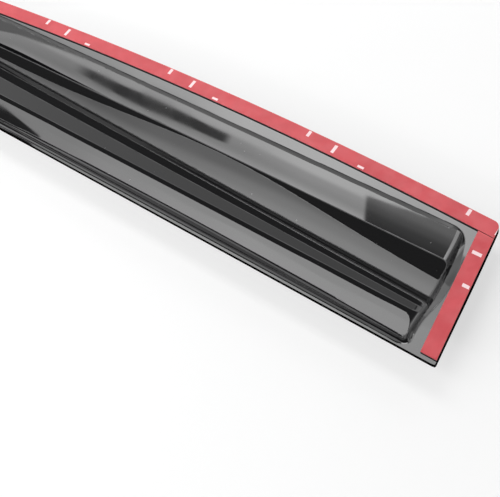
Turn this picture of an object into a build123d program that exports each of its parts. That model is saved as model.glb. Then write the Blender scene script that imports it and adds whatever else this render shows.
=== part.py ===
from build123d import *
from math import hypot
import os

# Window rain deflector for a car door: a thin sheet, formed with a flat flange, two long hollows
# and a ridge that slants between them, and trimmed to an arched outline. Strips of double-sided
# foam tape lie on the flange along the top edge and both ends, with the liner film still on them.
#
# Build frame, in mm: x runs along the lower edge and is zero at the lower rear corner, y runs up
# the sheet from the lower edge, and z is zero on the taped face of the flange, with the hollows
# below it. The finished pieces are moved so that the origin is at the middle of the underside.

# Outline of the sheet
LENGTH = 530.0  # along the lower edge
REAR_HEIGHT = 94.4  # top corner of the rear end
REAR_LEAN = 13.3  # that corner stands this far forward of the rear foot
CROWN_HEIGHT = 99.0  # highest point of the arched top edge
CROWN_PLACE = 192.0  # its distance from the rear foot
FRONT_HEIGHT = 81.5  # top corner of the front end
TOP_CORNER_RADIUS = 5.0
FOOT_CORNER_RADIUS = 1.5
SHEET = 3.0  # thickness of the sheet

# Depths and radii of the hollows
MAIN_DEPTH = 16.0
LOWER_DEPTH = 9.3
FLOOR_RADIUS = 3.5
RIDGE_RADIUS = 1.0  # inside the ridge's bend, on the underside
TOP_WALL_RADIUS = 4.5  # between the main hollow's floor and its broad top wall
END_RADIUS = 3.0  # between the end walls and the hollows
BEND_RADIUS = 0.5  # inside the bend between the flange and the walls, on the underside

# How far each wall runs sideways for each millimetre that it goes down
LIP_WALL_RUN = 0.62
RIDGE_LOWER_RUN = 1.75
RIDGE_MAIN_RUN = 0.68
TOP_WALL_RUN = 1.0
END_WALL_RUN = 0.62

# Lines where the walls would meet the flange's face, as heights above the lower edge. The main
# hollow is straight from the rear to a turn, and from there it bends down with the top edge.
LIP_WIDTH = 3.4  # flat lip between the lower edge and the lower hollow
LOWER_TOP_HEIGHT = 41.6
MAIN_FOOT_REAR_HEIGHT = 31.1
MAIN_FOOT_TURN_HEIGHT = 40.8
MAIN_FOOT_FRONT_HEIGHT = 33.2
MOUTH_REAR_HEIGHT = 80.6
MOUTH_TURN_HEIGHT = 78.3
MOUTH_FRONT_HEIGHT = 69.0
TURN_PLACE = 400.0  # distance of the turn from the rear foot
MOUTH_FRONT_GAP = 16.0  # from the front end to the front end wall
# Line of the rear end wall: distance from the rear foot, and height above the lower edge
REAR_WALL_LINE = [
    (36.0, 90.0),
    (26.0, 73.3),
    (19.7, 53.0),
    (18.9, 41.0),
    (20.7, 22.0),
    (20.0, 9.0),
    (20.4, -4.0),
]

# Tape
TAPE_WIDTH = 10.0
TAPE_INSET = 0.4  # from the tape to the sheet's edge
TAPE_BUTT_GAP = 0.4  # between the top strip and the end strips
END_TAPE_FOOT = 3.0  # from the lower edge to the end strips
FOAM = 1.1
LINER = 0.15

FAR = 2 * LENGTH  # reaches past everything


def top_curve(drop=0.0):
    """Arched top edge from the rear to the front, lowered by drop."""
    rear = (-REAR_LEAN, REAR_HEIGHT - drop)
    crown = (-CROWN_PLACE, CROWN_HEIGHT - drop)
    front = (-LENGTH, FRONT_HEIGHT - drop)
    return ThreePointArc(rear, crown, front)


def sheet_outline():
    """Plan of the sheet, with its corners rounded."""
    top = top_curve()
    lower = Line((-LENGTH, 0), (0, 0))
    face = make_face([top, Line(top @ 1, lower @ 0), lower, Line(lower @ 1, top @ 0)])
    face = fillet(face.vertices().sort_by(Axis.Y)[-2:], TOP_CORNER_RADIUS)
    return fillet(face.vertices().sort_by(Axis.Y)[:2], FOOT_CORNER_RADIUS)


def leaning(plan, run_x, run_y, depth):
    """Solid from a plan on the flange's face down to a depth, moving by the runs for each mm."""
    direction = Vector(run_x, run_y, -1)
    return extrude(plan, amount=depth * direction.length, dir=direction)


def edges_along(shape):
    """Edges that run along the sheet, from the lowest to the highest on it."""
    return shape.edges().filter_by(lambda edge: edge.bounding_box().size.X > 0).sort_by(Axis.Y)


def lower_section(grow):
    """Cross-section of the lower hollow, with every face moved out by grow."""
    depth = LOWER_DEPTH + grow
    lip = LIP_WIDTH - grow * hypot(1, LIP_WALL_RUN)
    top = LOWER_TOP_HEIGHT + grow * hypot(1, RIDGE_LOWER_RUN)
    path = FilletPolyline(
        (lip, 0),
        (lip + LIP_WALL_RUN * depth, -depth),
        (top - RIDGE_LOWER_RUN * depth, -depth),
        (top, 0),
        radius=FLOOR_RADIUS + grow,
    )
    return make_face([path, Line(path @ 1, path @ 0)])


def turning_line(rear_height, turn_height, front_height):
    """Line along the main hollow: straight from the rear to the turn, then an arc to the front."""
    turn = (-TURN_PLACE, turn_height)
    straight = Line((0, rear_height), turn)
    return straight + TangentArc(turn, (-LENGTH, front_height), tangent=straight % 1)


def above_ridge(grow):
    """Plan of everything above the foot of the main hollow's mouth."""
    shift = -grow * hypot(1, RIDGE_MAIN_RUN)
    line = turning_line(
        MAIN_FOOT_REAR_HEIGHT + shift,
        MAIN_FOOT_TURN_HEIGHT + shift,
        MAIN_FOOT_FRONT_HEIGHT + shift,
    )
    return make_face([*line.edges(), Polyline(line @ 1, (-LENGTH, FAR), (0, FAR), line @ 0)])


def below_top_wall(grow):
    """Plan of everything below the top of the main hollow's mouth."""
    shift = grow * hypot(1, TOP_WALL_RUN)
    line = turning_line(
        MOUTH_REAR_HEIGHT + shift,
        MOUTH_TURN_HEIGHT + shift,
        MOUTH_FRONT_HEIGHT + shift,
    )
    return make_face([*line.edges(), Polyline(line @ 1, (-LENGTH, -FAR), (0, -FAR), line @ 0)])


def ahead_of_rear_wall(grow):
    """Plan of everything ahead of the rear end wall, which bulges at the main hollow."""
    shift = grow * hypot(1, END_WALL_RUN)
    wall = Spline(*[(shift - place, height) for place, height in REAR_WALL_LINE])
    above = wall @ 0 - (wall % 0) * CROWN_HEIGHT
    below = wall @ 1 + (wall % 1) * CROWN_HEIGHT
    closing = Polyline(wall @ 1, below, (-FAR, below.Y), (-FAR, above.Y), above, wall @ 0)
    return make_face([wall, closing])


def behind_front_wall(grow):
    """Plan of everything behind the front end wall."""
    shift = grow * hypot(1, END_WALL_RUN)
    wall = MOUTH_FRONT_GAP - LENGTH - shift
    return make_face(Polyline((wall, -FAR), (FAR, -FAR), (FAR, FAR), (wall, FAR), close=True))


def main_hollow(grow):
    """The main hollow without its end walls."""
    depth = MAIN_DEPTH + grow
    body = leaning(above_ridge(grow), 0, RIDGE_MAIN_RUN, depth)
    body &= leaning(below_top_wall(grow), 0, -TOP_WALL_RUN, depth)
    floor = body.faces().sort_by(Axis.Z)[0]
    body = fillet(edges_along(floor)[-2:], TOP_WALL_RADIUS + grow)
    floor = body.faces().sort_by(Axis.Z)[0]
    return fillet(edges_along(floor)[:2], FLOOR_RADIUS + grow)


def hollow(grow):
    """The space inside both hollows, or with grow the body that holds them at that thickness."""
    depth = MAIN_DEPTH + grow
    lower = Pos(-LENGTH, 0, 0) * extrude(Plane.YZ * lower_section(grow), LENGTH)
    body = lower + main_hollow(grow)
    crest = edges_along(body).filter_by(lambda edge: edge.bounding_box().size.Z > 0)[:2]
    body = fillet(crest, RIDGE_RADIUS + SHEET - grow)
    body &= leaning(ahead_of_rear_wall(grow), -END_WALL_RUN, 0, depth)
    body &= leaning(behind_front_wall(grow), END_WALL_RUN, 0, depth)
    walls = body.faces().sort_by(Axis.X)
    front_edges = walls[0].edges().sort_by(Axis.Z)[:-1]
    rear_edges = walls[-1].edges().sort_by(Axis.Z)[:-1]
    return fillet(front_edges + rear_edges, END_RADIUS + grow)


def shield(outline):
    """The formed sheet: a flat plate with the hollows pressed into it, cut to its outline."""
    plate = extrude(outline, -SHEET)
    trim = extrude(outline, -MAIN_DEPTH - SHEET)
    sheet = plate + (hollow(SHEET) & trim) - hollow(0)
    taped_face = sheet.faces().filter_by(Axis.Z).sort_by(Axis.Z)[-1]
    sheet = fillet(taped_face.inner_wires()[0].edges(), BEND_RADIUS + SHEET)
    underside = sheet.faces().filter_by(Axis.Z).sort_by(Axis.Z)[-2]
    return fillet(underside.inner_wires()[0].edges(), BEND_RADIUS)


def below_top_tape(gap):
    """Plan of everything at least a gap below the strip of tape along the top edge."""
    curve = top_curve(TAPE_INSET + TAPE_WIDTH + gap)
    rear = curve @ 0
    front = curve @ 1
    closing = Polyline(front, (-FAR, front.Y), (-FAR, -FAR), (FAR, -FAR), (FAR, rear.Y), rear)
    return make_face([curve, closing])


def rear_band():
    """Plan of a band along the leaning rear end, as wide as the tape and its inset."""
    slope = REAR_LEAN / REAR_HEIGHT
    width = (TAPE_INSET + TAPE_WIDTH) * hypot(1, slope)
    foot = (-width - slope * END_TAPE_FOOT, END_TAPE_FOOT)
    head = (-width - REAR_LEAN, REAR_HEIGHT)
    return make_face(Polyline(foot, (FAR, END_TAPE_FOOT), (FAR, REAR_HEIGHT), head, close=True))


def front_band():
    """Plan of a band along the front end, as wide as the tape and its inset."""
    side = TAPE_INSET + TAPE_WIDTH - LENGTH
    foot = END_TAPE_FOOT
    return make_face(Polyline((-FAR, foot), (side, foot), (side, FAR), (-FAR, FAR), close=True))


def tape_plans(outline):
    """Plans of the three strips of tape, by name."""
    field = offset(outline, -TAPE_INSET)
    end_field = field & below_top_tape(TAPE_BUTT_GAP)
    return {
        "top_tape": field - below_top_tape(0),
        "rear_end_tape": end_field & rear_band(),
        "front_end_tape": end_field & front_band(),
    }


def main():
    outline = sheet_outline()
    pieces = {"shield": shield(outline)}
    for name, plan in tape_plans(outline).items():
        pieces[name + "_foam"] = extrude(plan, FOAM)
        pieces[name + "_liner"] = Pos(0, 0, FOAM) * extrude(plan, LINER)
    middle = outline.bounding_box().center()
    place = Pos(-middle.X, -middle.Y, MAIN_DEPTH + SHEET)
    os.makedirs("parts", exist_ok=True)
    for name, piece in pieces.items():
        export_step(place * piece, f"parts/{name}.step")


main()
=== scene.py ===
from math import hypot, pi

import bpy
import numpy as np
from mathutils import Matrix, Vector


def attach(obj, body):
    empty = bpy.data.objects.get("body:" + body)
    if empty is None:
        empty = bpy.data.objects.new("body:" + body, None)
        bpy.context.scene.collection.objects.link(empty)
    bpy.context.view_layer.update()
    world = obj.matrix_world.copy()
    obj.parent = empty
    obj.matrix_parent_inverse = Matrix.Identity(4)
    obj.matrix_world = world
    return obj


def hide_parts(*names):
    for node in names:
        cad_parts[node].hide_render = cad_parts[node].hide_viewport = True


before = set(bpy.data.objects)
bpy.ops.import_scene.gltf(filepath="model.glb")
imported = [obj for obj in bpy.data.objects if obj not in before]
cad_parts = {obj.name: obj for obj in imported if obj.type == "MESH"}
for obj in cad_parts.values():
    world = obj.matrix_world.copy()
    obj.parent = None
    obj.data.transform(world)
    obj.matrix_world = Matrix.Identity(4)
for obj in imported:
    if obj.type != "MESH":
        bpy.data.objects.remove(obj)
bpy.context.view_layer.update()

# The formed sheet, in millimetres, in its plan frame: u runs along the lower edge from the lower
# rear corner and is negative ahead of it, v runs up from the lower edge, and depth is measured
# down from the taped face of the flange.
PLAN_SHIFT = (265.113, -49.501, 19.0)  # from the plan frame to the part's frame
MM_PER_METRE = 1000

# Outline of the sheet
LENGTH = 530.0
REAR_HEIGHT = 94.4
REAR_LEAN = 13.3  # the upper rear corner stands this far ahead of the lower one
CROWN_HEIGHT = 99.0  # highest point of the arched top edge
CROWN_PLACE = 192.0  # its distance from the lower rear corner
FRONT_HEIGHT = 81.5
TOP_CORNER = 5.0
FOOT_CORNER = 1.5
SHEET = 3.0  # thickness
EDGE = 0.35  # rounding of the trimmed edge
RIM_ANGLES = (pi / 6, pi / 3, pi / 2)  # steps of that rounding

# Depths of the hollows, and how far each wall runs sideways for each millimetre down
MAIN_DEPTH = 16.0
LOWER_DEPTH = 9.3
LIP_RUN = 0.62
RIDGE_LOWER_RUN = 1.75
RIDGE_MAIN_RUN = 0.68
TOP_RUN = 1.0
END_RUN = 0.48

# Lines where the walls would meet the flange's face. A line along the main hollow has its heights
# at the rear, at the turn and at the front.
LIP_WIDTH = 3.4
LOWER_TOP = 41.6
MAIN_FOOT = (28.4, 40.8, 33.2)
MOUTH = (80.3, 78.0, 68.7)
TURN_PLACE = 400.0
FRONT_GAP = 16.0  # from the front end to the front end wall
# Line of the rear end wall: distance from the lower rear corner, and height
REAR_WALL = [
    (36.0, 90.0),
    (26.0, 73.3),
    (19.7, 53.0),
    (18.9, 41.0),
    (20.7, 22.0),
    (20.0, 9.0),
    (20.4, -4.0),
]

# Radii of the bends on the taped side
FLOOR_RADIUS = 3.5
RIDGE_FOOT_RADIUS = 1.5
LIP_FOOT_RADIUS = 0.8
LIP_EASE_RADIUS = 0.6
END_FOOT_RADIUS = 6.0
TOP_FOOT_RADIUS = 1.0  # where the main floor meets the top wall
SHOULDER_RADIUS = 1.2
CREST_REAR_RADIUS = 3.0
CREST_FRONT_RADIUS = 0.8
CREST_START = 80.0  # from here on the crest sharpens, over the fade
CREST_FADE = 170.0
RISE_RADIUS = 1.5
BAND_RADIUS = 0.8  # at the inner edge of the band round the mouth
MOUTH_RADIUS = 0.6  # at its outer edge
FACET_RADIUS = 0.3
UNDERSIDE_BEND = 0.4  # radius that is left inside a bend on the underside
UNDERSIDE_RADIUS = SHEET + UNDERSIDE_BEND

# Rounding of corners between walls: the lip's as a depth, the others in plan
LIP_CORNER = 8.0
MOUTH_CORNER = 9.0
VALLEY_CORNER = 5.0  # between the top wall and the end walls
RIDGE_CORNER = 9.0  # between the ridge's lower side and the end walls
END_FOOT_FADE = 8.5  # depth over which the top wall's foot turns into the end walls'
SOLVE_STEPS = 8  # of a search for a depth in a rounded corner, or for a height on the top edge
NOTHING = 1e-6  # a reach that rounds nothing

# A shallow band leads from the flange into the walls
BAND_SLOPE = 0.42
BAND_WIDTH = 1.2
# At the bulge of the rear end wall the band is broader and steeper
BULGE_SLOPE = 0.66
BULGE_SHIFT = 3.0  # how far the wall below the band moves inwards
BULGE_PLACE = 50.0  # height of the bulge's middle
BULGE_REACH = 20.0  # how far it reaches up and down
BULGE_DEPTH = 15.0  # how far it reaches along the sheet
# Narrow facets run along the lower hollow's mouth and along the foot of the lip's wall
FACET_SLOPE = 0.17
MOUTH_FACET = 0.56  # how far the one reaches out over the flange
FOOT_FACET = 0.8  # how far the other reaches out over the floor

# The lip bows up, and its wall begins with a steeper band and eases into the floor in two steps
LIP_BOW = 0.6
LIP_BOW_PLACE = 190.0
LIP_BOW_REACH = 175.0
LIP_BOW_TOP = 0.3
LIP_BOW_LEAST = -0.8
LIP_SLOPE = 0.56
LIP_FOOT = 7.4  # from the lip's line to the foot of its wall
LIP_FOOT_BOW = 2.0
LIP_MIDDLE_SLOPE = 1.0
LIP_LOW_SLOPE = 0.54
LIP_LOW_WIDTH = 1.8

# The ridge's lower side is shallower along its foot, and flattens towards its crest
SHOULDER = (29.0, 36.2, 29.6)  # heights of the line where it flattens
SHOULDER_SLOPE = 0.12
SHOULDER_WIDTH = 9.0
RIDGE_FOOT = 23.6
RIDGE_FOOT_SLOPE = 0.2

# The main floor rises a little towards the top wall, from a line that bulges up in the middle
RISE = 0.1
RISE_LOW = 53.0
RISE_HIGH = 63.6
RISE_PLACE = 200.0
RISE_WIDTH = 115.0
RISE_SLANT = 0.009
MIDDLE_RISE = 1.4

# Grid of the mesh, with closer columns at the ends and closer rows where the sheet bends
COLUMNS = 200
COLUMN_SAMPLES = 3000
COLUMN_WEIGHT = 0.2
END_WALL_WEIGHT = 2.0
END_WALL_PLACE = 20.0
END_WALL_REACH = 10.0
END_EDGE_WEIGHT = 0.35
END_EDGE_REACH = 8.0
ROWS = 215
ROW_SAMPLES = 1500
LEAST_ROW_WEIGHT = 0.8
ROW_SMOOTHING = 31
BEND_WEIGHT = 6.0
RISE_WEIGHT = 2.5
RISE_WEIGHT_REACH = 0.8
SLOPE_STEP = 0.02  # between the depths that give a slope
# Columns follow the rear end wall near it
FOLLOW_PLACE = 17.0
FOLLOW_REACH = 5.0
FOLLOW_FADE = 25.0


def circle_through(a, b, c):
    """Centre and radius of the circle through three points."""
    (ax, ay), (bx, by), (cx, cy) = a, b, c
    d = 2 * (ax * (by - cy) + bx * (cy - ay) + cx * (ay - by))
    aa = ax * ax + ay * ay
    bb = bx * bx + by * by
    cc = cx * cx + cy * cy
    x = (aa * (by - cy) + bb * (cy - ay) + cc * (ay - by)) / d
    y = (aa * (cx - bx) + bb * (ax - cx) + cc * (bx - ax)) / d
    return x, y, hypot(ax - x, ay - y)


ARCH = circle_through(
    (-REAR_LEAN, REAR_HEIGHT),
    (-CROWN_PLACE, CROWN_HEIGHT),
    (-LENGTH, FRONT_HEIGHT),
)
REAR_WALL_CURVE = np.polynomial.Polynomial.fit(
    [height for place, height in REAR_WALL],
    [place for place, height in REAR_WALL],
    len(REAR_WALL) - 1,
)


def top_edge(u):
    """Height of the arched top edge."""
    return ARCH[1] + np.sqrt(ARCH[2] ** 2 - (u - ARCH[0]) ** 2)


def rear_edge(v):
    """Place of the leaning rear edge."""
    return -REAR_LEAN / REAR_HEIGHT * v


def turning_line(u, heights):
    """Line along the main hollow: straight from the rear to the turn, then bending to the front."""
    rear, turn, front = heights
    slope = (rear - turn) / TURN_PLACE
    past = np.maximum(-TURN_PLACE - u, 0) / (LENGTH - TURN_PLACE)
    fall = turn - front - slope * (LENGTH - TURN_PLACE)
    return rear + slope * u - fall * past**2


def soft_min(a, b, reach):
    """Smaller of two values, rounded where they are within reach of each other."""
    near = np.maximum(reach - np.abs(a - b), 0) / reach
    return np.minimum(a, b) - near * near * reach / 4


def soft_max(a, b, reach):
    """Larger of two values, rounded where they are within reach of each other."""
    return -soft_min(-a, -b, reach)


def reach(radius, slope_a, slope_b):
    """Reach that rounds two slopes with a radius."""
    middle = (slope_a + slope_b) / 2
    return radius * (slope_a - slope_b) ** 2 / (2 * np.hypot(1, middle) ** 3)


def soft_corner(a, b, reach):
    """Smaller of two depths, rounded, but never less than nothing."""
    return soft_min(a, b, np.clip(a + b, NOTHING, reach))


def plan_corner(a, run_a, b, run_b, radius):
    """Smaller of two walls' depths, with the corner between the walls rounded in plan."""
    level = np.minimum(a, b)
    for _ in range(SOLVE_STEPS):
        past_a = run_a * (a - level)
        past_b = run_b * (b - level)
        share = np.clip(0.5 + (past_b - past_a) / (2 * radius), 0, 1)
        run = share * run_a + (1 - share) * run_b
        level = level + soft_min(past_a, past_b, radius) / run
    return level


def bent(steep, inside, run, slope, banded):
    """Walls bent into the flange over a shallow band, with sharper bends on the taped face."""
    band = slope * (inside + BAND_WIDTH)
    inner = BAND_RADIUS if banded else UNDERSIDE_RADIUS
    outer = MOUTH_RADIUS if banded else UNDERSIDE_RADIUS
    steep = soft_max(steep, band, reach(inner, slope, 1 / run))
    return soft_max(steep, 0, reach(outer, 0, slope))


def faceted(level, inside):
    """Adds a narrow facet along the edge of the lower hollow's mouth."""
    facet = FACET_SLOPE * (inside + BAND_WIDTH + MOUTH_FACET)
    return soft_max(level, facet, reach(FACET_RADIUS, 0, FACET_SLOPE))


def end_walls(u, v):
    """Distance inside the end walls' lines, their depth, and the slope of the band at their top."""
    rear = -u - REAR_WALL_CURVE(v)
    front = u + LENGTH - FRONT_GAP
    bulge = np.exp(-(((v - BULGE_PLACE) / BULGE_REACH) ** 2) - (rear / BULGE_DEPTH) ** 2)
    ends = np.minimum(rear, front)
    steep = np.minimum(rear - BULGE_SHIFT * bulge, front) / END_RUN
    return ends, steep, BAND_SLOPE + (BULGE_SLOPE - BAND_SLOPE) * bulge


def ridge_lower_side(u, v):
    """Lower side of the ridge, which is shallower at its foot and flattens before its crest."""
    slope = 1 / RIDGE_LOWER_RUN
    side = (LOWER_TOP - v) * slope
    above = v - turning_line(u, SHOULDER)
    past = np.maximum(above - SHOULDER_WIDTH, 0)
    shoulder = side + above * slope - above * SHOULDER_SLOPE - past
    side = soft_max(side, shoulder, reach(SHOULDER_RADIUS, slope, SHOULDER_SLOPE))
    foot = LOWER_DEPTH - RIDGE_FOOT_SLOPE * (v - RIDGE_FOOT)
    return soft_min(side, foot, reach(RIDGE_FOOT_RADIUS, slope, RIDGE_FOOT_SLOPE))


def crest_reach(u, banded):
    """Reach of the rounding along the crest, which is sharper towards the front."""
    ahead = np.clip((-u - CREST_START) / CREST_FADE, 0, 1)
    radius = CREST_REAR_RADIUS + (CREST_FRONT_RADIUS - CREST_REAR_RADIUS) * ahead
    if not banded:
        radius = np.maximum(radius, UNDERSIDE_RADIUS)
    return radius * reach(1, -SHOULDER_SLOPE, 1 / RIDGE_MAIN_RUN)


def lip_bow(u):
    """How far the lip bows up, most near its middle."""
    from_middle = (u + LIP_BOW_PLACE) / LIP_BOW_REACH
    return np.maximum(LIP_BOW_TOP - from_middle**2, LIP_BOW_LEAST)


def lip_wall(inside, from_foot):
    """Wall between the lip and the lower floor, which eases into the floor in two steps."""
    low = LOWER_DEPTH - LIP_LOW_SLOPE * from_foot
    middle = low - (LIP_MIDDLE_SLOPE - LIP_LOW_SLOPE) * (from_foot - LIP_LOW_WIDTH)
    ease = reach(LIP_EASE_RADIUS, 1 / LIP_RUN, LIP_MIDDLE_SLOPE)
    wall = soft_min(inside / LIP_RUN, middle, ease)
    return soft_min(wall, low, reach(LIP_EASE_RADIUS, LIP_MIDDLE_SLOPE, LIP_LOW_SLOPE))


def lower_hollow(u, v, ends, steep, slope, banded):
    """Depth of the lower hollow, without the ridge."""
    lip = v - LIP_WIDTH - LIP_BOW * lip_bow(u)
    from_foot = LIP_FOOT + LIP_FOOT_BOW * lip_bow(u) - lip
    wall = lip_wall(lip, from_foot)
    at_lip = np.clip((steep - wall) / LIP_CORNER, 0, 1)
    walls = soft_min(wall, steep, LIP_CORNER)
    inside = soft_min(lip, ends, MOUTH_CORNER)
    lower = bent(walls, inside, LIP_RUN, slope + (LIP_SLOPE - slope) * at_lip, banded)
    if banded:
        lower = faceted(lower, inside)
    facet = LOWER_DEPTH - FACET_SLOPE * (from_foot + FOOT_FACET)
    lower = soft_min(lower, facet, reach(FACET_RADIUS, LIP_LOW_SLOPE, FACET_SLOPE))
    sharp = reach(FACET_RADIUS, FACET_SLOPE, 0)
    soft = reach(LIP_FOOT_RADIUS, 1 / LIP_RUN, 0)
    return soft_min(lower, LOWER_DEPTH, soft + (sharp - soft) * at_lip)


def middle_bulge(u):
    """How far a place belongs to the middle of the main floor, from 0 to 1."""
    return np.exp(-(((u + RISE_PLACE) / RISE_WIDTH) ** 2))


def rise_line(u):
    """Height on the sheet where the main floor begins to rise."""
    line = RISE_LOW - RISE_SLANT * (u + RISE_PLACE)
    return line + (RISE_HIGH - line) * middle_bulge(u)


def main_floor(u, v):
    """Depth of the main floor."""
    rise = soft_min(0, -RISE * (v - rise_line(u)), reach(RISE_RADIUS, 0, RISE))
    return MAIN_DEPTH - MIDDLE_RISE * middle_bulge(u) + rise


def main_hollow(u, v, ends, steep, slope, banded):
    """Depth of the main hollow."""
    top = turning_line(u, MOUTH) - v
    walls = plan_corner(top / TOP_RUN, TOP_RUN, steep, END_RUN, VALLEY_CORNER)
    main = bent(walls, soft_min(top, ends, MOUTH_CORNER), TOP_RUN, slope, banded)
    top_foot = reach(TOP_FOOT_RADIUS, 0, 1 / TOP_RUN)
    end_foot = reach(END_FOOT_RADIUS, 0, 1 / END_RUN)
    at_end = np.clip((top / TOP_RUN - steep) / END_FOOT_FADE, 0, 1)
    main = soft_min(main, main_floor(u, v), top_foot + (end_foot - top_foot) * at_end)
    side = (v - turning_line(u, MAIN_FOOT)) / RIDGE_MAIN_RUN
    return soft_corner(main, side, reach(FLOOR_RADIUS, 1 / RIDGE_MAIN_RUN, 0))


def depth(u, v, banded=True):
    """Depth of the taped face below the flange, or of the face that the underside follows."""
    ends, steep, slope = end_walls(u, v)
    end_wall = bent(steep, ends, END_RUN, slope, banded)
    if banded:
        end_wall = faceted(end_wall, ends)
    side = ridge_lower_side(u, v)
    corner = np.clip(end_wall + side, NOTHING, RIDGE_CORNER)
    side = plan_corner(end_wall, END_RUN, side, RIDGE_LOWER_RUN, corner)
    lower = lower_hollow(u, v, ends, steep, slope, banded)
    lower = soft_corner(lower, side, reach(RIDGE_FOOT_RADIUS, 0, RIDGE_FOOT_SLOPE))
    main = main_hollow(u, v, ends, steep, slope, banded)
    return np.minimum(soft_max(lower, main, crest_reach(u, banded)), end_wall)


def spread(places, weight, count):
    """A number of places, closer together where the weight is higher."""
    parts = (weight[1:] + weight[:-1]) / 2 * np.diff(places)
    total = np.concatenate([[0], np.cumsum(parts)])
    return np.interp(np.linspace(0, total[-1], count), total, places)


def column_shares():
    """Shares of the length at which the grid's columns stand."""
    shares = np.linspace(0, 1, COLUMN_SAMPLES)
    from_end = np.minimum(shares, 1 - shares) * LENGTH
    at_wall = np.exp(-(((from_end - END_WALL_PLACE) / END_WALL_REACH) ** 4))
    at_edge = np.exp(-((from_end / END_EDGE_REACH) ** 2))
    weight = COLUMN_WEIGHT + END_WALL_WEIGHT * at_wall + END_EDGE_WEIGHT * at_edge
    return spread(shares, weight, COLUMNS)


def column_place(share, v):
    """Distance from the rear edge to a column, which follows the rear end wall near it."""
    plain = EDGE + share * (LENGTH + rear_edge(v) - 2 * EDGE)
    wall = REAR_WALL_CURVE(np.clip(v, 0, REAR_WALL[0][1]))
    bend = rear_edge(v) + wall - FOLLOW_PLACE
    before = np.minimum(plain / (FOLLOW_PLACE - FOLLOW_REACH), 1)
    after = np.maximum(plain - FOLLOW_PLACE - FOLLOW_REACH, 0) / FOLLOW_FADE
    return plain + bend * before * np.exp(-after * after)


def column_height(share):
    """Height of the top edge at a column."""
    height = REAR_HEIGHT
    for _ in range(SOLVE_STEPS):
        rear = rear_edge(height)
        height = top_edge(rear - share * (LENGTH + rear))
    return height


def row_places(share):
    """Heights of the rows at a column."""
    line = np.linspace(EDGE, column_height(share) - EDGE, ROW_SAMPLES)
    u = rear_edge(line) - column_place(share, line)
    slope = np.gradient(depth(u, line), line)
    turn = np.abs(np.gradient(np.arctan(slope), line))
    smooth = np.ones(ROW_SMOOTHING) / ROW_SMOOTHING
    weight = np.convolve(np.hypot(1, slope) + BEND_WEIGHT * turn, smooth, mode="same")
    weight += RISE_WEIGHT * np.exp(-(((line - rise_line(u)) / RISE_WEIGHT_REACH) ** 2))
    return spread(line, np.maximum(weight, LEAST_ROW_WEIGHT), ROWS)


def sheet_grid():
    """Distances from the rear edge and heights of the grid, rows by columns, inside the rim."""
    shares = column_shares()
    heights = [row_places(share) for share in shares]
    places = [column_place(share, rows) for share, rows in zip(shares, heights)]
    return np.stack(places, axis=1), np.stack(heights, axis=1)


def round_corner(a, b, radius):
    """Moves points near a square corner, at distances a and b from its sides, inside a round one."""
    x = np.clip(1 - a / radius, 0, 1)
    y = np.clip(1 - b / radius, 0, 1)
    near = (x > 0) & (y > 0)
    new_a = np.where(near, radius * (1 - x * np.sqrt(1 - y * y / 2)), a)
    new_b = np.where(near, radius * (1 - y * np.sqrt(1 - x * x / 2)), b)
    return new_a, new_b


def rounded_plan(behind, v):
    """Plan places of the grid, with the four corners of the sheet rounded."""
    u = rear_edge(v) - behind
    below = top_edge(u) - v
    ahead = LENGTH + u
    corners = [
        (behind, below, TOP_CORNER, 1, -1),
        (ahead, below, TOP_CORNER, -1, -1),
        (behind, v, FOOT_CORNER, 1, 1),
        (ahead, v, FOOT_CORNER, -1, 1),
    ]
    move_u = np.zeros_like(u)
    move_v = np.zeros_like(v)
    for from_end, from_side, radius, sign_end, sign_side in corners:
        new_end, new_side = round_corner(from_end - EDGE, from_side - EDGE, radius - EDGE)
        move_u -= sign_end * (new_end + EDGE - from_end)
        move_v += sign_side * (new_side + EDGE - from_side)
    return u + move_u, v + move_v


def surface(u, v, banded):
    """Points on the sheet, and the directions that stand square on it there."""
    change_u = depth(u + SLOPE_STEP, v, banded) - depth(u - SLOPE_STEP, v, banded)
    change_v = depth(u, v + SLOPE_STEP, banded) - depth(u, v - SLOPE_STEP, banded)
    upright = np.full_like(u, 2 * SLOPE_STEP)
    normals = np.stack([change_u, change_v, upright], -1).reshape(-1, 3)
    normals /= np.linalg.norm(normals, axis=1, keepdims=True)
    return np.stack([u, v, -depth(u, v, banded)], -1).reshape(-1, 3), normals


def grid_index():
    """Indices of the grid's points, rows by columns."""
    return np.arange(ROWS * COLUMNS).reshape(ROWS, COLUMNS)


def grid_border():
    """Indices of the grid's border, once round, starting at its first corner."""
    index = grid_index()
    return np.concatenate([index[0, :-1], index[:-1, -1], index[-1, :0:-1], index[:0:-1, 0]])


def grid_faces(start, flip):
    """Faces of the grid, with points that begin at a start."""
    index = start + grid_index()
    corners = [index[:-1, :-1], index[:-1, 1:], index[1:, 1:], index[1:, :-1]]
    quads = np.stack(corners, -1).reshape(-1, 4)
    return quads[:, ::-1] if flip else quads


def ring_faces(first, second):
    """Faces between two closed rings of points."""
    return np.stack([first, second, np.roll(second, -1), np.roll(first, -1)], -1)


def outward_directions(rim):
    """Directions in plan that point out of the sheet at its rim."""
    along = np.roll(rim, -1, axis=0) - np.roll(rim, 1, axis=0)
    outward = np.stack([-along[:, 1], along[:, 0], np.zeros(len(rim))], -1)
    outward /= np.linalg.norm(outward, axis=1, keepdims=True)
    from_middle = rim - rim.mean(axis=0)
    return outward * np.sign((from_middle * outward).sum(axis=1).mean())


def rim_ring(rim, outward, angle, low):
    """Points and directions of a ring round the rim, near its upper or its lower edge."""
    drop = EDGE * (1 - np.cos(angle))
    level = SHEET - drop if low else drop
    upward = -np.cos(angle) if low else np.cos(angle)
    points = rim + outward * EDGE * np.sin(angle) - np.array([0, 0, level])
    return points, outward * np.sin(angle) + np.array([0, 0, upward])


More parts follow.
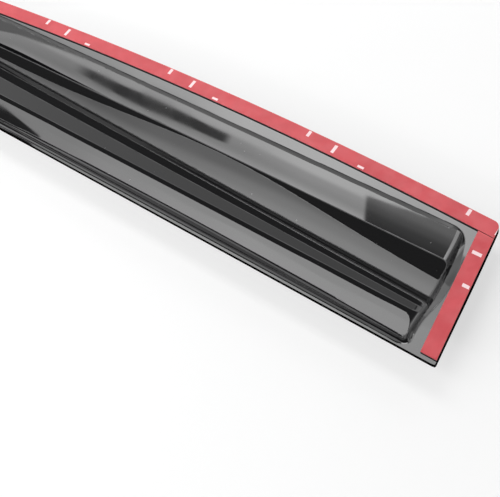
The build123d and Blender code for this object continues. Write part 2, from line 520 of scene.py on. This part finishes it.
def mesh_piece(name, points, faces, material, normals=None):
    """A piece of the scene from points in metres."""
    mesh = bpy.data.meshes.new(name)
    mesh.from_pydata(points.tolist(), [], faces.tolist())
    mesh.polygons.foreach_set("use_smooth", np.ones(len(mesh.polygons), bool))
    if normals is not None:
        mesh.normals_split_custom_set_from_vertices(normals.tolist())
    mesh.materials.append(material)
    piece = bpy.data.objects.new(name, mesh)
    bpy.context.scene.collection.objects.link(piece)
    return piece


def formed_sheet(material):
    """The sheet as a closed mesh: both faces and a rounded rim."""
    u, v = rounded_plan(*sheet_grid())
    top, top_normals = surface(u, v, True)
    followed, under_normals = surface(u, v, False)
    count = len(top)
    loop = grid_border()
    rim = top[loop]
    outward = outward_directions(rim)
    points = [top, followed - SHEET * under_normals]
    normals = [top_normals, -under_normals]
    rings = [loop]
    steps = [(angle, False) for angle in RIM_ANGLES] + [(angle, True) for angle in RIM_ANGLES[::-1]]
    for number, (angle, low) in enumerate(steps):
        ring_points, ring_normals = rim_ring(rim, outward, angle, low)
        points.append(ring_points)
        normals.append(ring_normals)
        rings.append(2 * count + number * len(loop) + np.arange(len(loop)))
    rings.append(count + loop)
    faces = [grid_faces(0, True), grid_faces(count, False)]
    faces += [ring_faces(first, second) for first, second in zip(rings, rings[1:])]
    points = (np.concatenate(points) + np.array(PLAN_SHIFT)) / MM_PER_METRE
    normals = np.concatenate(normals)
    return mesh_piece("formed_sheet", points, np.concatenate(faces), material, normals)


# Looks: scales of the noise are per metre, and stops are (place, level) pairs
DUST_SCALE = 420
DUST_STOPS = [(0.78, (0.004, 0.004, 0.0045)), (0.84, (0.12, 0.12, 0.12))]
WIPE_SCALE = 35
WIPE_STOPS = [(0.35, 0.018), (0.7, 0.045)]
WAVE_SCALE = 14
WAVE_HEIGHT = 0.00008
ACRYLIC_IOR = 1.49
RED_SCALE = 70
RED_STOPS = [(0.3, (0.53, 0.042, 0.054)), (0.7, (0.6, 0.058, 0.072))]
MARK_COLOUR = (0.88, 0.66, 0.68, 1)
SHEEN_SCALE = 160
SHEEN_STOPS = [(0.3, 0.38), (0.7, 0.52)]
PRESS_SCALE = 220
PRESS_HEIGHT = 0.00006
CELL_SCALE = 2600
CELL_STOPS = [(0.3, 0.018), (0.7, 0.045)]
CELL_HEIGHT = 0.0002
MATT_ROUGHNESS = 0.9
FLOOR_SCALE = 3
FLOOR_STOPS = [(0.3, 0.9), (0.7, 0.93)]
FLOOR_WHITE = 0.6  # share of plain white that the camera and reflections see
FLOOR_REACH = 8.0  # metres from its middle to its sides
# Plain bars on the liner, in metres: place along and across the tape, width and height
MARK_PITCH = 0.116
MARK_BARS = [
    (-0.116, 0.0022, 0.0022, 0.0044),
    (-0.095, 0, 0.0022, 0.006),
    (-0.073, -0.0032, 0.0046, 0.0016),
]
TAPE_MIDDLE = 5.4  # from the sheet's edge to the middle of the tape, in millimetres
# Colour sockets of a mix node
MIX_FIRST = 6
MIX_SECOND = 7
MIX_RESULT = 2


def calculate(tree, operation, *values):
    """A math node on sockets or numbers."""
    node = tree.nodes.new("ShaderNodeMath")
    node.operation = operation
    for socket, value in zip(node.inputs, values):
        if isinstance(value, (int, float)):
            socket.default_value = value
        else:
            tree.links.new(value, socket)
    return node.outputs[0]


def graded(tree, value, stops):
    """A smooth grade of a value through (place, level) stops; a level is a grey or a colour."""
    low = stops[0][0]
    high = stops[-1][0]
    node = tree.nodes.new("ShaderNodeValToRGB")
    node.color_ramp.interpolation = "EASE"
    elements = node.color_ramp.elements
    while len(elements) < len(stops):
        elements.new(0.5)
    for element, (place, level) in zip(elements, stops):
        element.position = (place - low) / (high - low)
        grey = isinstance(level, (int, float))
        element.color = (level, level, level, 1) if grey else (*level, 1)
    share = calculate(tree, "MULTIPLY_ADD", value, 1 / (high - low), -low / (high - low))
    tree.links.new(share, node.inputs[0])
    return node.outputs[0]


def step(tree, value, width):
    """Rises from 0 to 1 where a value passes zero."""
    return graded(tree, value, [(-width, 0), (width, 1)])


def sloped(tree, x, y, x_share, y_share, constant):
    """A weighted sum of two values and a constant."""
    part = calculate(tree, "MULTIPLY_ADD", x, x_share, constant)
    return calculate(tree, "MULTIPLY_ADD", y, y_share, part)


def mixed(tree, share, first, second):
    """A number between first and second."""
    change = calculate(tree, "SUBTRACT", second, first)
    return calculate(tree, "MULTIPLY_ADD", share, change, first)


def new_material(name):
    """A material, its nodes and its shader."""
    material = bpy.data.materials.new(name)
    material.use_nodes = True
    tree = material.node_tree
    return material, tree, tree.nodes["Principled BSDF"]


def place_of(tree):
    """Place on a piece, in metres in the part's frame."""
    return tree.nodes.new("ShaderNodeTexCoord").outputs["Object"]


def noise(tree, place, scale, detail=3.0):
    """Cloudy noise from 0 to 1."""
    node = tree.nodes.new("ShaderNodeTexNoise")
    node.inputs["Scale"].default_value = scale
    node.inputs["Detail"].default_value = detail
    tree.links.new(place, node.inputs["Vector"])
    return node.outputs["Fac"]


def bumped(tree, shader, height, distance):
    """Gives a shader a bump from a height."""
    node = tree.nodes.new("ShaderNodeBump")
    node.inputs["Distance"].default_value = distance
    tree.links.new(height, node.inputs["Height"])
    tree.links.new(node.outputs[0], shader.inputs["Normal"])


def acrylic():
    """Smoked acrylic: black and glossy, hardly wavy from forming, with fine dust on it."""
    material, tree, shader = new_material("smoked_acrylic")
    place = place_of(tree)
    dust = graded(tree, noise(tree, place, DUST_SCALE, detail=1), DUST_STOPS)
    tree.links.new(dust, shader.inputs["Base Color"])
    wipes = graded(tree, noise(tree, place, WIPE_SCALE), WIPE_STOPS)
    tree.links.new(wipes, shader.inputs["Roughness"])
    shader.inputs["IOR"].default_value = ACRYLIC_IOR
    bumped(tree, shader, noise(tree, place, WAVE_SCALE, detail=1), WAVE_HEIGHT)
    return material


def marks(tree, along, across):
    """Plain pale bars on the liner, in groups of three that step across the tape."""
    level = 0.0
    for start, offset, width, height in MARK_BARS:
        from_start = calculate(tree, "ADD", along, -start)
        turn = calculate(tree, "WRAP", from_start, MARK_PITCH / 2, -MARK_PITCH / 2)
        from_bar = calculate(tree, "ABSOLUTE", turn)
        from_line = calculate(tree, "ABSOLUTE", calculate(tree, "SUBTRACT", across, offset))
        narrow = calculate(tree, "LESS_THAN", from_bar, width / 2)
        short = calculate(tree, "LESS_THAN", from_line, height / 2)
        level = calculate(tree, "ADD", calculate(tree, "MULTIPLY", narrow, short), level)
    return level


def along_top(tree, x, y):
    """Places along and across the strip that follows the arched top edge, in metres."""
    from_middle = calculate(tree, "ADD", x, -(ARCH[0] + PLAN_SHIFT[0]) / MM_PER_METRE)
    squared = calculate(tree, "MULTIPLY", from_middle, from_middle)
    radius = ARCH[2] / MM_PER_METRE
    rise = calculate(tree, "SQRT", calculate(tree, "SUBTRACT", radius**2, squared))
    middle = (ARCH[1] + PLAN_SHIFT[1] - TAPE_MIDDLE) / MM_PER_METRE
    across = calculate(tree, "SUBTRACT", calculate(tree, "ADD", y, -middle), rise)
    return x, across


def along_rear(tree, x, y):
    """Places along and across the strip on the leaning rear end, in metres."""
    lean = REAR_LEAN / REAR_HEIGHT
    offset = TAPE_MIDDLE * hypot(1, lean) - PLAN_SHIFT[0] - lean * PLAN_SHIFT[1]
    return y, sloped(tree, x, y, 1, lean, offset / MM_PER_METRE)


def along_front(tree, x, y):
    """Places along and across the strip on the front end, in metres."""
    offset = LENGTH - PLAN_SHIFT[0] - TAPE_MIDDLE
    return y, calculate(tree, "ADD", x, offset / MM_PER_METRE)


def liner(name, along):
    """Red film, a little uneven where it was pressed on, with plain white marks."""
    material, tree, shader = new_material(name)
    place = place_of(tree)
    axes = tree.nodes.new("ShaderNodeSeparateXYZ")
    tree.links.new(place, axes.inputs[0])
    mix = tree.nodes.new("ShaderNodeMix")
    mix.data_type = "RGBA"
    bars = marks(tree, *along(tree, axes.outputs[0], axes.outputs[1]))
    tree.links.new(bars, mix.inputs["Factor"])
    red = graded(tree, noise(tree, place, RED_SCALE), RED_STOPS)
    tree.links.new(red, mix.inputs[MIX_FIRST])
    mix.inputs[MIX_SECOND].default_value = MARK_COLOUR
    tree.links.new(mix.outputs[MIX_RESULT], shader.inputs["Base Color"])
    sheen = graded(tree, noise(tree, place, SHEEN_SCALE), SHEEN_STOPS)
    tree.links.new(sheen, shader.inputs["Roughness"])
    bumped(tree, shader, noise(tree, place, PRESS_SCALE), PRESS_HEIGHT)
    return material


def foam():
    """Dark foam with fine cells."""
    material, tree, shader = new_material("tape_foam")
    cells = noise(tree, place_of(tree), CELL_SCALE, detail=2)
    tree.links.new(graded(tree, cells, CELL_STOPS), shader.inputs["Base Color"])
    shader.inputs["Roughness"].default_value = MATT_ROUGHNESS
    bumped(tree, shader, cells, CELL_HEIGHT)
    return material


def floor():
    """A pale floor that the camera sees nearly white, with the part's shadow on it."""
    material, tree, shader = new_material("pale_floor")
    pale = graded(tree, noise(tree, place_of(tree), FLOOR_SCALE), FLOOR_STOPS)
    tree.links.new(pale, shader.inputs["Base Color"])
    shader.inputs["Roughness"].default_value = MATT_ROUGHNESS
    shader.inputs["Specular IOR Level"].default_value = 0.0
    white = tree.nodes.new("ShaderNodeEmission")
    seen = tree.nodes.new("ShaderNodeLightPath").outputs
    rays = calculate(tree, "MAXIMUM", seen["Is Camera Ray"], seen["Is Glossy Ray"])
    rays = calculate(tree, "MAXIMUM", rays, seen["Is Transmission Ray"])
    mix = tree.nodes.new("ShaderNodeMixShader")
    tree.links.new(calculate(tree, "MULTIPLY", rays, FLOOR_WHITE), mix.inputs[0])
    tree.links.new(shader.outputs[0], mix.inputs[1])
    tree.links.new(white.outputs[0], mix.inputs[2])
    tree.links.new(mix.outputs[0], tree.nodes["Material Output"].inputs["Surface"])
    corners = FLOOR_REACH * np.array([(-1, -1, 0), (1, -1, 0), (1, 1, 0), (-1, 1, 0)])
    mesh_piece("floor", corners, np.array([[0, 1, 2, 3]]), material)


# Levels of the lamps' faces. Stops along go by x in metres, and stops across by the share of the
# way from the lamp's low edge to its high one.
HIGH_ALONG = [
    (-2.1, 0.45),
    (-1.6, 0.47),
    (-1.3, 0.54),
    (-1.0, 0.72),
    (-0.75, 0.94),
    (-0.5, 1),
    (-0.3, 0.88),
    (0.05, 0.6),
]
HIGH_ACROSS = [(0, 0.05), (0.13, 0.05), (0.15, 0.3), (0.31, 1), (1, 1)]
HIGH_PLAIN = -0.21  # behind this it doesn't change across
HIGH_PLAIN_EDGE = 0.015
LOW_ALONG = [(-4.5, 0.5), (-1.9, 0.55), (-1.3, 0.66), (-1.0, 0.9), (-0.5, 1), (0.05, 1)]
LOW_ACROSS = [(0, 1), (0.5, 0.9), (0.65, 0.72), (0.8, 0.45), (1, 0.42)]
EDGE_ALONG = [
    (-2.1, 0.45),
    (-1.5, 0.45),
    (-1.28, 0.57),
    (-1.05, 0.75),
    (-0.8, 0.88),
    (-0.6, 0.95),
    (-0.4, 0.93),
    (0.05, 0.85),
]
WEDGE_START = -1.325  # ahead of this a dark wedge lies below a slanted line
WEDGE_START_EDGE = 0.008
WEDGE_SLANT = -1.9
WEDGE_OFFSET = -1.817
WEDGE_EDGE = 0.02
WEDGE_LEVEL = 0.01
SIDE_ALONG = [
    (-1.6, 0.6),
    (-1.28, 0.66),
    (-1.05, 0.62),
    (-0.85, 0.68),
    (-0.6, 0.85),
    (-0.42, 1),
    (0.4, 1),
]
SIDE_ACROSS = [
    (0, 0.7),
    (0.125, 0.82),
    (0.15, 0.58),
    (0.172, 0.66),
    (0.186, 1),
    (0.2, 1),
    (0.24, 0.85),
    (0.36, 0.8),
    (0.42, 0.3),
    (1, 0.3),
]
UPPER_ACROSS = [(0.36, 0), (0.42, 1)]  # where the dimmer upper part begins
UPPER_ALONG = [(-1.4, 0.16), (-1.0, 0.15), (-0.65, 0.135), (-0.3, 0.112), (0.4, 0.1)]
OVAL_MIDDLE = -0.845
OVAL_LOW = 0.1425
OVAL_LOW_SLANT = 0.05  # how the low edge rises on both sides of the middle
OVAL_LOW_EDGE = 0.003
OVAL_HIGH = 0.1765
OVAL_HIGH_EDGE = 0.0025
OVAL_REAR = -0.637
OVAL_REAR_EDGE = 0.012
OVAL_FRONT = [(-1.08, 0), (-1.01, 1)]
OVAL_LEVEL = 0.12
CORNER_SLANT = 0.11  # a dim corner ahead lies between a slanted line and a top
CORNER_OFFSET = 0.3158
CORNER_EDGE = 0.002
CORNER_TOP = 0.25
CORNER_TOP_EDGE = 0.005
CORNER_LEVEL = 0.28
STRETCH_START = -0.2526  # a dim stretch behind lies between two slanted lines
STRETCH_START_SLANT = 0.31
STRETCH_START_EDGE = 0.005
STRETCH_TOP = 0.223
STRETCH_TOP_SLANT = 0.115
STRETCH_TOP_EDGE = 0.002
STRETCH_ACROSS = [
    (0, 0.035),
    (0.125, 0.04),
    (0.15, 0.075),
    (0.166, 0.15),
    (0.187, 0.27),
    (0.24, 0.28),
    (1, 0.24),
]
DIM_ACROSS = [(0, 0.6), (0.3, 0.75), (0.5, 1), (0.7, 1), (0.85, 0.45), (1, 0.3)]
WALL_ALONG = [(-3.2, 0.65), (-2.2, 0.65), (-1.7, 1), (0.9, 1)]


def softbox(name, left, right, low, high, radiance, pattern):
    """A lamp between two x places, from a low to a high (y, z) edge, that faces the part.

    A pattern gives the level of its face from x, in metres, and from the share of the way from
    the low edge to the high one.
    """
    low = Vector((0, *low))
    high = Vector((0, *high))
    data = bpy.data.lights.new(name, "AREA")
    data.shape = "RECTANGLE"
    data.size = right - left
    data.size_y = (high - low).length
    data.energy = radiance * pi * data.size * data.size_y
    data.use_nodes = True
    tree = data.node_tree
    face = tree.nodes.new("ShaderNodeNewGeometry").outputs["Parametric"]
    place = tree.nodes.new("ShaderNodeSeparateXYZ")
    tree.links.new(face, place.inputs[0])
    x = calculate(tree, "MULTIPLY_ADD", place.outputs[0], right - left, left)
    level = pattern(tree, x, place.outputs[1])
    tree.links.new(level, tree.nodes["Emission"].inputs["Strength"])
    lamp = bpy.data.objects.new(name, data)
    x_axis = Vector((1, 0, 0))
    y_axis = (high - low).normalized()
    axes = Matrix((x_axis, y_axis, x_axis.cross(y_axis))).transposed().to_4x4()
    middle = (low + high) / 2 + Vector(((left + right) / 2, 0, 0))
    lamp.matrix_world = Matrix.Translation(middle) @ axes
    lamp.visible_camera = False
    bpy.context.scene.collection.objects.link(lamp)


def high_pattern(tree, x, y):
    """Brightest towards the rear, with a dark low edge that ends there."""
    along = graded(tree, x, HIGH_ALONG)
    across = graded(tree, y, HIGH_ACROSS)
    plain = step(tree, calculate(tree, "SUBTRACT", x, HIGH_PLAIN), HIGH_PLAIN_EDGE)
    return calculate(tree, "MULTIPLY", along, mixed(tree, plain, across, 1.0))


def low_pattern(tree, x, y):
    """Falls off ahead and towards its high edge."""
    return calculate(tree, "MULTIPLY", graded(tree, x, LOW_ALONG), graded(tree, y, LOW_ACROSS))


def edge_pattern(tree, x, y):
    """Falls off ahead, where a dark wedge reaches into it."""
    along = graded(tree, x, EDGE_ALONG)
    ahead = step(tree, calculate(tree, "SUBTRACT", WEDGE_START, x), WEDGE_START_EDGE)
    below = step(tree, sloped(tree, x, y, WEDGE_SLANT, -1, WEDGE_OFFSET), WEDGE_EDGE)
    wedge = calculate(tree, "MULTIPLY", ahead, below)
    return calculate(tree, "MULTIPLY", along, mixed(tree, wedge, 1.0, WEDGE_LEVEL))


def dark_oval(tree, x, y):
    """How far a place belongs to the long dark oval on the side lamp."""
    off_middle = calculate(tree, "ABSOLUTE", calculate(tree, "SUBTRACT", x, OVAL_MIDDLE))
    above = sloped(tree, off_middle, y, -OVAL_LOW_SLANT, 1, -OVAL_LOW)
    over = step(tree, above, OVAL_LOW_EDGE)
    under = step(tree, calculate(tree, "SUBTRACT", OVAL_HIGH, y), OVAL_HIGH_EDGE)
    ahead = step(tree, calculate(tree, "SUBTRACT", OVAL_REAR, x), OVAL_REAR_EDGE)
    within = calculate(tree, "MULTIPLY", ahead, graded(tree, x, OVAL_FRONT))
    return calculate(tree, "MULTIPLY", within, calculate(tree, "MULTIPLY", over, under))


def dim_corner(tree, x, y):
    """How far a place belongs to the dim corner ahead on the side lamp."""
    over = step(tree, sloped(tree, x, y, -CORNER_SLANT, 1, -CORNER_OFFSET), CORNER_EDGE)
    under = step(tree, calculate(tree, "SUBTRACT", CORNER_TOP, y), CORNER_TOP_EDGE)
    return calculate(tree, "MULTIPLY", over, under)


def dim_stretch(tree, x, y):
    """How far a place belongs to the dim stretch behind on the side lamp."""
    past = sloped(tree, x, y, 1, STRETCH_START_SLANT, -STRETCH_START)
    behind = step(tree, past, STRETCH_START_EDGE)
    under = sloped(tree, x, y, STRETCH_TOP_SLANT, -1, STRETCH_TOP)
    below = step(tree, under, STRETCH_TOP_EDGE)
    return calculate(tree, "MULTIPLY", behind, below)


def side_pattern(tree, x, y):
    """Bright, with a long dark oval in it, a dim corner ahead and a dim stretch behind."""
    lower = calculate(tree, "MULTIPLY", graded(tree, x, SIDE_ALONG), graded(tree, y, SIDE_ACROSS))
    upper = graded(tree, x, UPPER_ALONG)
    level = mixed(tree, graded(tree, y, UPPER_ACROSS), lower, upper)
    oval = mixed(tree, dark_oval(tree, x, y), 1.0, OVAL_LEVEL)
    level = calculate(tree, "MULTIPLY", level, oval)
    corner = mixed(tree, dim_corner(tree, x, y), 1.0, CORNER_LEVEL)
    level = calculate(tree, "MULTIPLY", level, corner)
    return mixed(tree, dim_stretch(tree, x, y), level, graded(tree, y, STRETCH_ACROSS))


def dim_pattern(tree, x, y):
    """Brightest near the middle of its height."""
    return graded(tree, y, DIM_ACROSS)


def wall_pattern(tree, x, y):
    """Dimmer far ahead."""
    return graded(tree, x, WALL_ALONG)


def studio():
    """Boxes of soft light behind and beside the part."""
    softbox(
        "back_lamp_high",
        left=-2.1,
        right=0.05,
        low=(0.649, 1.337),
        high=(0.800, 1.270),
        radiance=9.4,
        pattern=high_pattern,
    )
    softbox(
        "back_lamp_low",
        left=-4.5,
        right=0.05,
        low=(0.498, 1.404),
        high=(0.649, 1.337),
        radiance=5.6,
        pattern=low_pattern,
    )
    softbox(
        "back_lamp_edge",
        left=-2.1,
        right=0.05,
        low=(0.429, 1.435),
        high=(0.498, 1.404),
        radiance=6.9,
        pattern=edge_pattern,
    )
    softbox(
        "side_lamp",
        left=-1.6,
        right=0.4,
        low=(-1.106, 0.421),
        high=(-0.773, 1.105),
        radiance=9.0,
        pattern=side_pattern,
    )
    softbox(
        "dim_panel",
        left=-1.9,
        right=0.1,
        low=(-0.783, 1.161),
        high=(-0.315, 1.364),
        radiance=3.4,
        pattern=dim_pattern,
    )
    softbox(
        "low_panel",
        left=-3.2,
        right=0.9,
        low=(1.21, 1.1),
        high=(1.45, 0.1),
        radiance=1.3,
        pattern=wall_pattern,
    )


# Levels of the room by direction: by height, and by height in the part that lies ahead
ROOM_STOPS = [(-1, 0.9), (0.06, 0.9), (0.22, 0.2), (1, 0.2)]
AHEAD_STOPS = [(-1, 1), (-0.9, 1), (-0.84, 0.9), (-0.78, 0)]
AHEAD_HEIGHT_STOPS = [(0, 1.2), (0.12, 1.2), (0.24, 1.9), (0.4, 1.9), (0.6, 0.2)]


def room():
    """A dark room that is pale near the floor and ahead of the part."""
    world = bpy.data.worlds.new("studio")
    world.use_nodes = True
    tree = world.node_tree
    direction = tree.nodes.new("ShaderNodeTexCoord").outputs["Generated"]
    axes = tree.nodes.new("ShaderNodeSeparateXYZ")
    tree.links.new(direction, axes.inputs[0])
    plain = graded(tree, axes.outputs[2], ROOM_STOPS)
    ahead = graded(tree, axes.outputs[0], AHEAD_STOPS)
    glow = calculate(tree, "MULTIPLY", ahead, graded(tree, axes.outputs[2], AHEAD_HEIGHT_STOPS))
    background = tree.nodes["Background"]
    background.inputs["Color"].default_value = (1, 1, 1, 1)
    level = calculate(tree, "MAXIMUM", plain, glow)
    tree.links.new(level, background.inputs["Strength"])
    bpy.context.scene.world = world


# The camera's directions and place, from the corners of the sheet in the photo
CAMERA_RIGHT = (0.78547, 0.58176, -0.21119)
CAMERA_DOWN = (0.42203, -0.75306, -0.50478)
CAMERA_AHEAD = (-0.45270, 0.30736, -0.83702)
CAMERA_PLACE = (0.4029, -0.2240, 0.5196)
CAMERA_SENSOR = 36
CAMERA_LENS = 72


def camera():
    """Camera at the photo's place."""
    data = bpy.data.cameras.new("photo_camera")
    data.sensor_width = CAMERA_SENSOR
    data.lens = CAMERA_LENS
    eye = bpy.data.objects.new("photo_camera", data)
    axes = Vector(CAMERA_RIGHT), -Vector(CAMERA_DOWN), -Vector(CAMERA_AHEAD)
    eye.matrix_world = Matrix.Translation(CAMERA_PLACE) @ Matrix(axes).transposed().to_4x4()
    bpy.context.scene.collection.objects.link(eye)
    bpy.context.scene.camera = eye


shield = formed_sheet(acrylic())
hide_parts("shield")
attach(shield, "root")
foam_look = foam()
strips = {"top_tape": along_top, "rear_end_tape": along_rear, "front_end_tape": along_front}
for strip, along in strips.items():
    for layer, look in (("liner", liner(f"{strip}_liner", along)), ("foam", foam_look)):
        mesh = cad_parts[f"{strip}_{layer}"].data
        mesh.materials.clear()
        mesh.materials.append(look)
floor()
camera()
room()
studio()
bpy.context.scene.view_settings.view_transform = "Standard"
